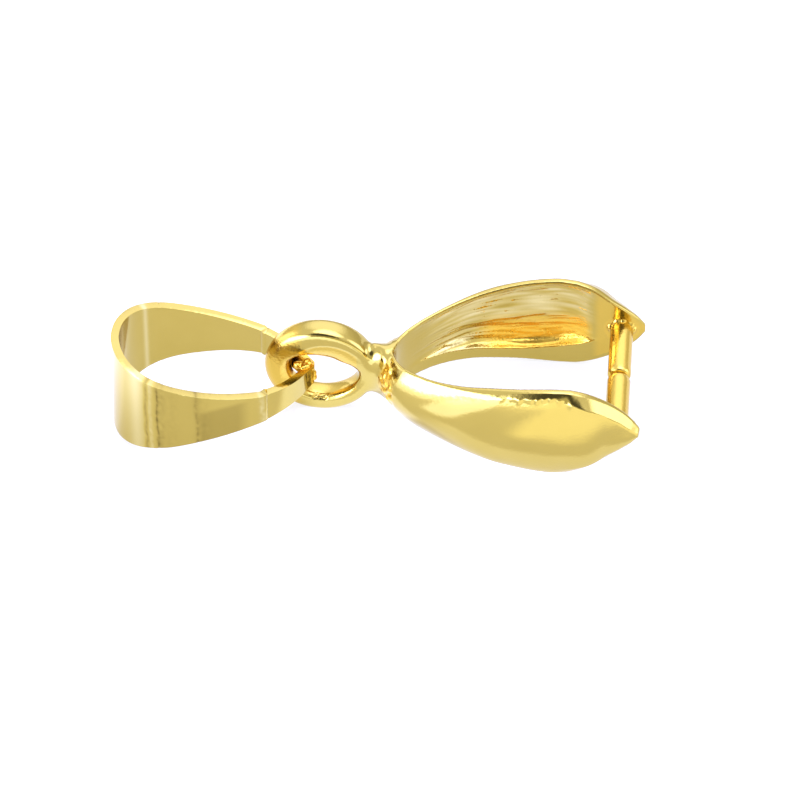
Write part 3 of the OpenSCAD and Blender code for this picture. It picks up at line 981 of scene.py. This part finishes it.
def gilt(material, rough, ripple, grain):
    material.use_nodes = True
    tree = material.node_tree
    tree.nodes.clear()
    coords = node(tree, "ShaderNodeTexCoord").outputs["Object"]
    cast = node(tree, "ShaderNodeAttribute", attribute_name="as_cast_and_glow").outputs["Fac"]
    mark = node(tree, "ShaderNodeAttribute", attribute_name="marks_and_light").outputs["Fac"]
    # Relief: the ripple, with the grain on top of it
    ripples = {"Vector": coords, "Scale": RIPPLES_PER_M, "Detail": 2.0}
    waves = node(tree, "ShaderNodeTexNoise", ripples).outputs[0]
    grains = {"Vector": coords, "Scale": GRAINS_PER_M, "Detail": 4.0}
    fine = node(tree, "ShaderNodeTexNoise", grains).outputs[0]
    relief = {"Height": waves, "Strength": ripple, "Distance": RIPPLE_DEPTH}
    bump = node(tree, "ShaderNodeBump", relief).outputs[0]
    depth = node(tree, MAP_RANGE, {"Value": cast, "To Min": grain, "To Max": RAW_GRAIN}).outputs[0]
    relief = {"Height": fine, "Strength": depth, "Distance": GRAIN_DEPTH, "Normal": bump}
    bump = node(tree, "ShaderNodeBump", relief).outputs[0]
    # Roughness: the polish, and more where the metal is as cast or scratched
    polish = {"Value": fine, "To Min": rough * 0.7, "To Max": rough * 1.4}
    shine = node(tree, MAP_RANGE, polish).outputs[0]
    dull = {0: cast, 1: RAW_DULL, 2: shine}
    dull = node(tree, MATH, dull, operation="MULTIPLY_ADD").outputs[0]
    dull = {0: mark, 1: MARK_DULL, 2: dull}
    dull = node(tree, MATH, dull, operation="MULTIPLY_ADD", use_clamp=True).outputs[0]
    # Colour: each tone is laid over the ones before it. The dark, pale and orange tones also carry
    # painted shade, painted highlights and painted reflection in the cavities
    pale_share = node(tree, MATH, {0: mark, 1: -1.0}, operation="MULTIPLY", use_clamp=True).outputs[0]
    tone = GOLD
    for share, over in ((waves, GOLD_DEEP), (mark, SCRATCH_AND_SHADE), (pale_share, PALE_AND_HIGHLIGHT), (cast, RAW_AND_GLOW)):
        layers = {"Factor": share, "A": tone, "B": over}
        tone = node(tree, "ShaderNodeMix", layers, data_type="RGBA").outputs["Result"]
    look = {"Metallic": 1.0, "Base Color": tone, "Roughness": dull, "Normal": bump}
    metal = node(tree, "ShaderNodeBsdfPrincipled", look)
    node(tree, "ShaderNodeOutputMaterial", {"Surface": metal.outputs[0]})
    print(material.name, "has", len(tree.nodes), "nodes")


gilt(finish, 0.1, 0.05, 0.1)
gilt(cast_finish, 0.1, 0.1, 0.2)

# %% [markdown]
# Studio
#
# Polished gold shows the room more than it shows itself, so the room is most of the look. It
# is bright all round, with a lit white table below. Only the place where the photographer
# stands is dark, and it draws the thin dark lines along the rounded edges.
#
# The table is lit from below, and more strongly in some patches. The camera sees white all
# over it, but the metal shows the difference: each patch lies where a highlight of the metal
# looks down on the table.

# %% Table
TABLE_HALF = 0.6
corners = [(x * TABLE_HALF, y * TABLE_HALF, 0) for x, y in ((-1, -1), (1, -1), (1, 1), (-1, 1))]
table = mesh_object("table", corners, [(0, 1, 2, 3)])
paper = bpy.data.materials.new("lit_white_acrylic")
paper.use_nodes = True
tree = paper.node_tree
sheet = tree.nodes["Principled BSDF"].inputs
sheet["Base Color"].default_value = linear("#848484")
sheet["Roughness"].default_value = 0.8
print("table:", 2 * TABLE_HALF, "m wide")

# %% The patches of light on it
# Strength of each patch, then its soft edges: what is measured, where the light starts and
# where it is full, in mm. Of the first group the strongest counts, and the others are added
GLOW = {
    "MAXIMUM": {
        "far in front": (0.75, [("Y", -8.5, -26.0)]),
        "left": (0.8, [("X", -9.5, -15.0)]),
        "in front of the near tip": (0.6, [("Y", -5.0, -6.2), ("X", 3.3, 5.5)]),
    },
    "ADD": {
        "under the near shell": (0.3, [("Y", -4.3, -4.0), ("Y", -2.2, -2.8), ("X", -0.5, 2.0)]),
        "under the ring": (0.55, [("Y", -2.8, -2.2), ("Y", -0.1, -0.4), ("X", -3.2, -2.2), ("X", 1.2, 0.4)]),
        "in front of the near root": (0.9, [("Y", -4.6, -5.8), ("slanting", 2.2, 3.4), ("X", 1.0, -0.2)]),
        "inside the loop": (0.12, [("off middle", 2.2, 1.6), ("X", -3.6, -4.4)]),
    },
}
TABLE_GLOW, GLOW_HUE = 0.76, (0.93, 1.07, 1.9, 1.0)
where = node(tree, "ShaderNodeTexCoord").outputs["Object"]
on_table = node(tree, "ShaderNodeSeparateXYZ", {0: where}).outputs
slope = {0: on_table["Y"], 1: -0.9, 2: on_table["X"]}
measured = {
    "X": on_table["X"],
    "Y": on_table["Y"],
    "slanting": node(tree, MATH, slope, operation="MULTIPLY_ADD").outputs[0],
    "off middle": node(tree, MATH, {0: on_table["Y"]}, operation="ABSOLUTE").outputs[0],
}
patches, sums = {}, {}
for way, group in GLOW.items():
    sums[way] = 0.0
    for name, (strength, edges) in group.items():
        patch = strength
        for measure, start, full in edges:
            ends = {"Value": measured[measure], "From Min": start * MM, "From Max": full * MM}
            share = node(tree, MAP_RANGE, ends, **SOFT).outputs[0]
            patch = node(tree, MATH, {0: share, 1: patch}, operation="MULTIPLY").outputs[0]
        patches[name] = patch
        sums[way] = node(tree, MATH, {0: patch, 1: sums[way]}, operation=way).outputs[0]
# The light of the left patch and of those close by is cooler
cooler = node(tree, MATH, {0: patches["left"], 1: sums["ADD"]}, operation="ADD").outputs[0]
hues = {"Factor": cooler, "A": (1.0, 1.0, 1.0, 1.0), "B": GLOW_HUE}
hue = node(tree, "ShaderNodeMix", hues, data_type="RGBA").outputs["Result"]
tree.links.new(hue, sheet["Emission Color"])
glow = node(tree, MATH, {0: sums["MAXIMUM"], 1: sums["ADD"]}, operation="ADD").outputs[0]
glow = node(tree, MATH, {0: glow, 1: TABLE_GLOW}, operation="ADD").outputs[0]
tree.links.new(glow, sheet["Emission Strength"])
table.data.materials.append(paper)
print("patches of light:", len(patches))

# %% The room, brighter and cooler towards its ceiling, and dark where the photographer stands
world = bpy.data.worlds.new("room")
scene = bpy.context.scene
scene.world = world
world.use_nodes = True
tree = world.node_tree
tree.nodes.clear()
way_out = node(tree, "ShaderNodeTexCoord").outputs["Generated"]
height = node(tree, "ShaderNodeSeparateXYZ", {0: way_out}).outputs["Z"]
walls = {"Value": height, "From Min": 0.0, "From Max": 0.8, "To Min": 0.8, "To Max": 1.3}
sky = node(tree, MAP_RANGE, walls, **SOFT).outputs[0]
towards = {0: way_out, 1: tuple(away)}
towards = node(tree, VECTOR_MATH, towards, operation="DOT_PRODUCT").outputs["Value"]
shadow = {"Value": towards, "From Min": 0.86, "From Max": 0.97, "To Min": 1.0, "To Max": 0.1}
shade = node(tree, MAP_RANGE, shadow, **SOFT).outputs[0]
light = node(tree, MATH, {0: sky, 1: shade}, operation="MULTIPLY").outputs[0]
cool = node(tree, MAP_RANGE, {"Value": height, "From Min": 0.1, "From Max": 0.7}).outputs[0]
hues = {"Factor": cool, "A": (1.0, 0.98, 0.94, 1.0), "B": (0.95, 0.98, 1.25, 1.0)}
hue = node(tree, "ShaderNodeMix", hues, data_type="RGBA").outputs["Result"]
room = node(tree, VECTOR_MATH, {0: hue, "Scale": light}, operation="SCALE").outputs[0]

# %% Softboxes with soft edges
# Direction from the object, half angles of the core and of the edge, radiance
SOFTBOXES = [
    ((0.10, 0.72, 0.69), 14, 36, 0.8),
    ((0.22, 0.00, 1.00), 13, 34, 2.6),
    ((-0.70, -0.70, 0.08), 18, 34, 7.0),
    ((-0.95, 0.20, 0.30), 10, 28, 1.5),
    ((0.94, -0.08, 0.30), 8, 26, 2.2),
]
DAYLIGHT = (0.92, 1.0, 1.85)
for direction, core, rim, radiance in SOFTBOXES:
    towards = {0: way_out, 1: tuple(Vector(direction).normalized())}
    dot = node(tree, VECTOR_MATH, towards, operation="DOT_PRODUCT").outputs["Value"]
    start, full = math.cos(math.radians(rim)), math.cos(math.radians(core))
    box = {"Value": dot, "From Min": start, "From Max": full, "To Min": 0.0, "To Max": radiance}
    glow = node(tree, MAP_RANGE, box, **SOFT).outputs[0]
    lit = node(tree, VECTOR_MATH, {0: DAYLIGHT, "Scale": glow}, operation="SCALE").outputs[0]
    room = node(tree, VECTOR_MATH, {0: room, 1: lit}, operation="ADD").outputs[0]
back = node(tree, "ShaderNodeBackground", {"Color": room, "Strength": 1.0})
node(tree, "ShaderNodeOutputWorld", {"Surface": back.outputs[0]})
scene.view_settings.view_transform = "Standard"
print("softboxes:", len(SOFTBOXES))

# %% Bring everything to metres, dress it and hand it to the bodies
for obj in [casting, loop_bail, *pins.values()]:
    obj.data.transform(Matrix.Scale(MM, 4))
    obj.data.materials.clear()
    obj.data.materials.append(finish if obj is loop_bail else cast_finish)
    for polygon in obj.data.polygons:
        polygon.use_smooth = True
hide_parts("pinch_clasp")
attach(casting, "clasp")
for pin in pins.values():
    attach(pin, "clasp")
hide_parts("slide_bail")
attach(loop_bail, "bail")
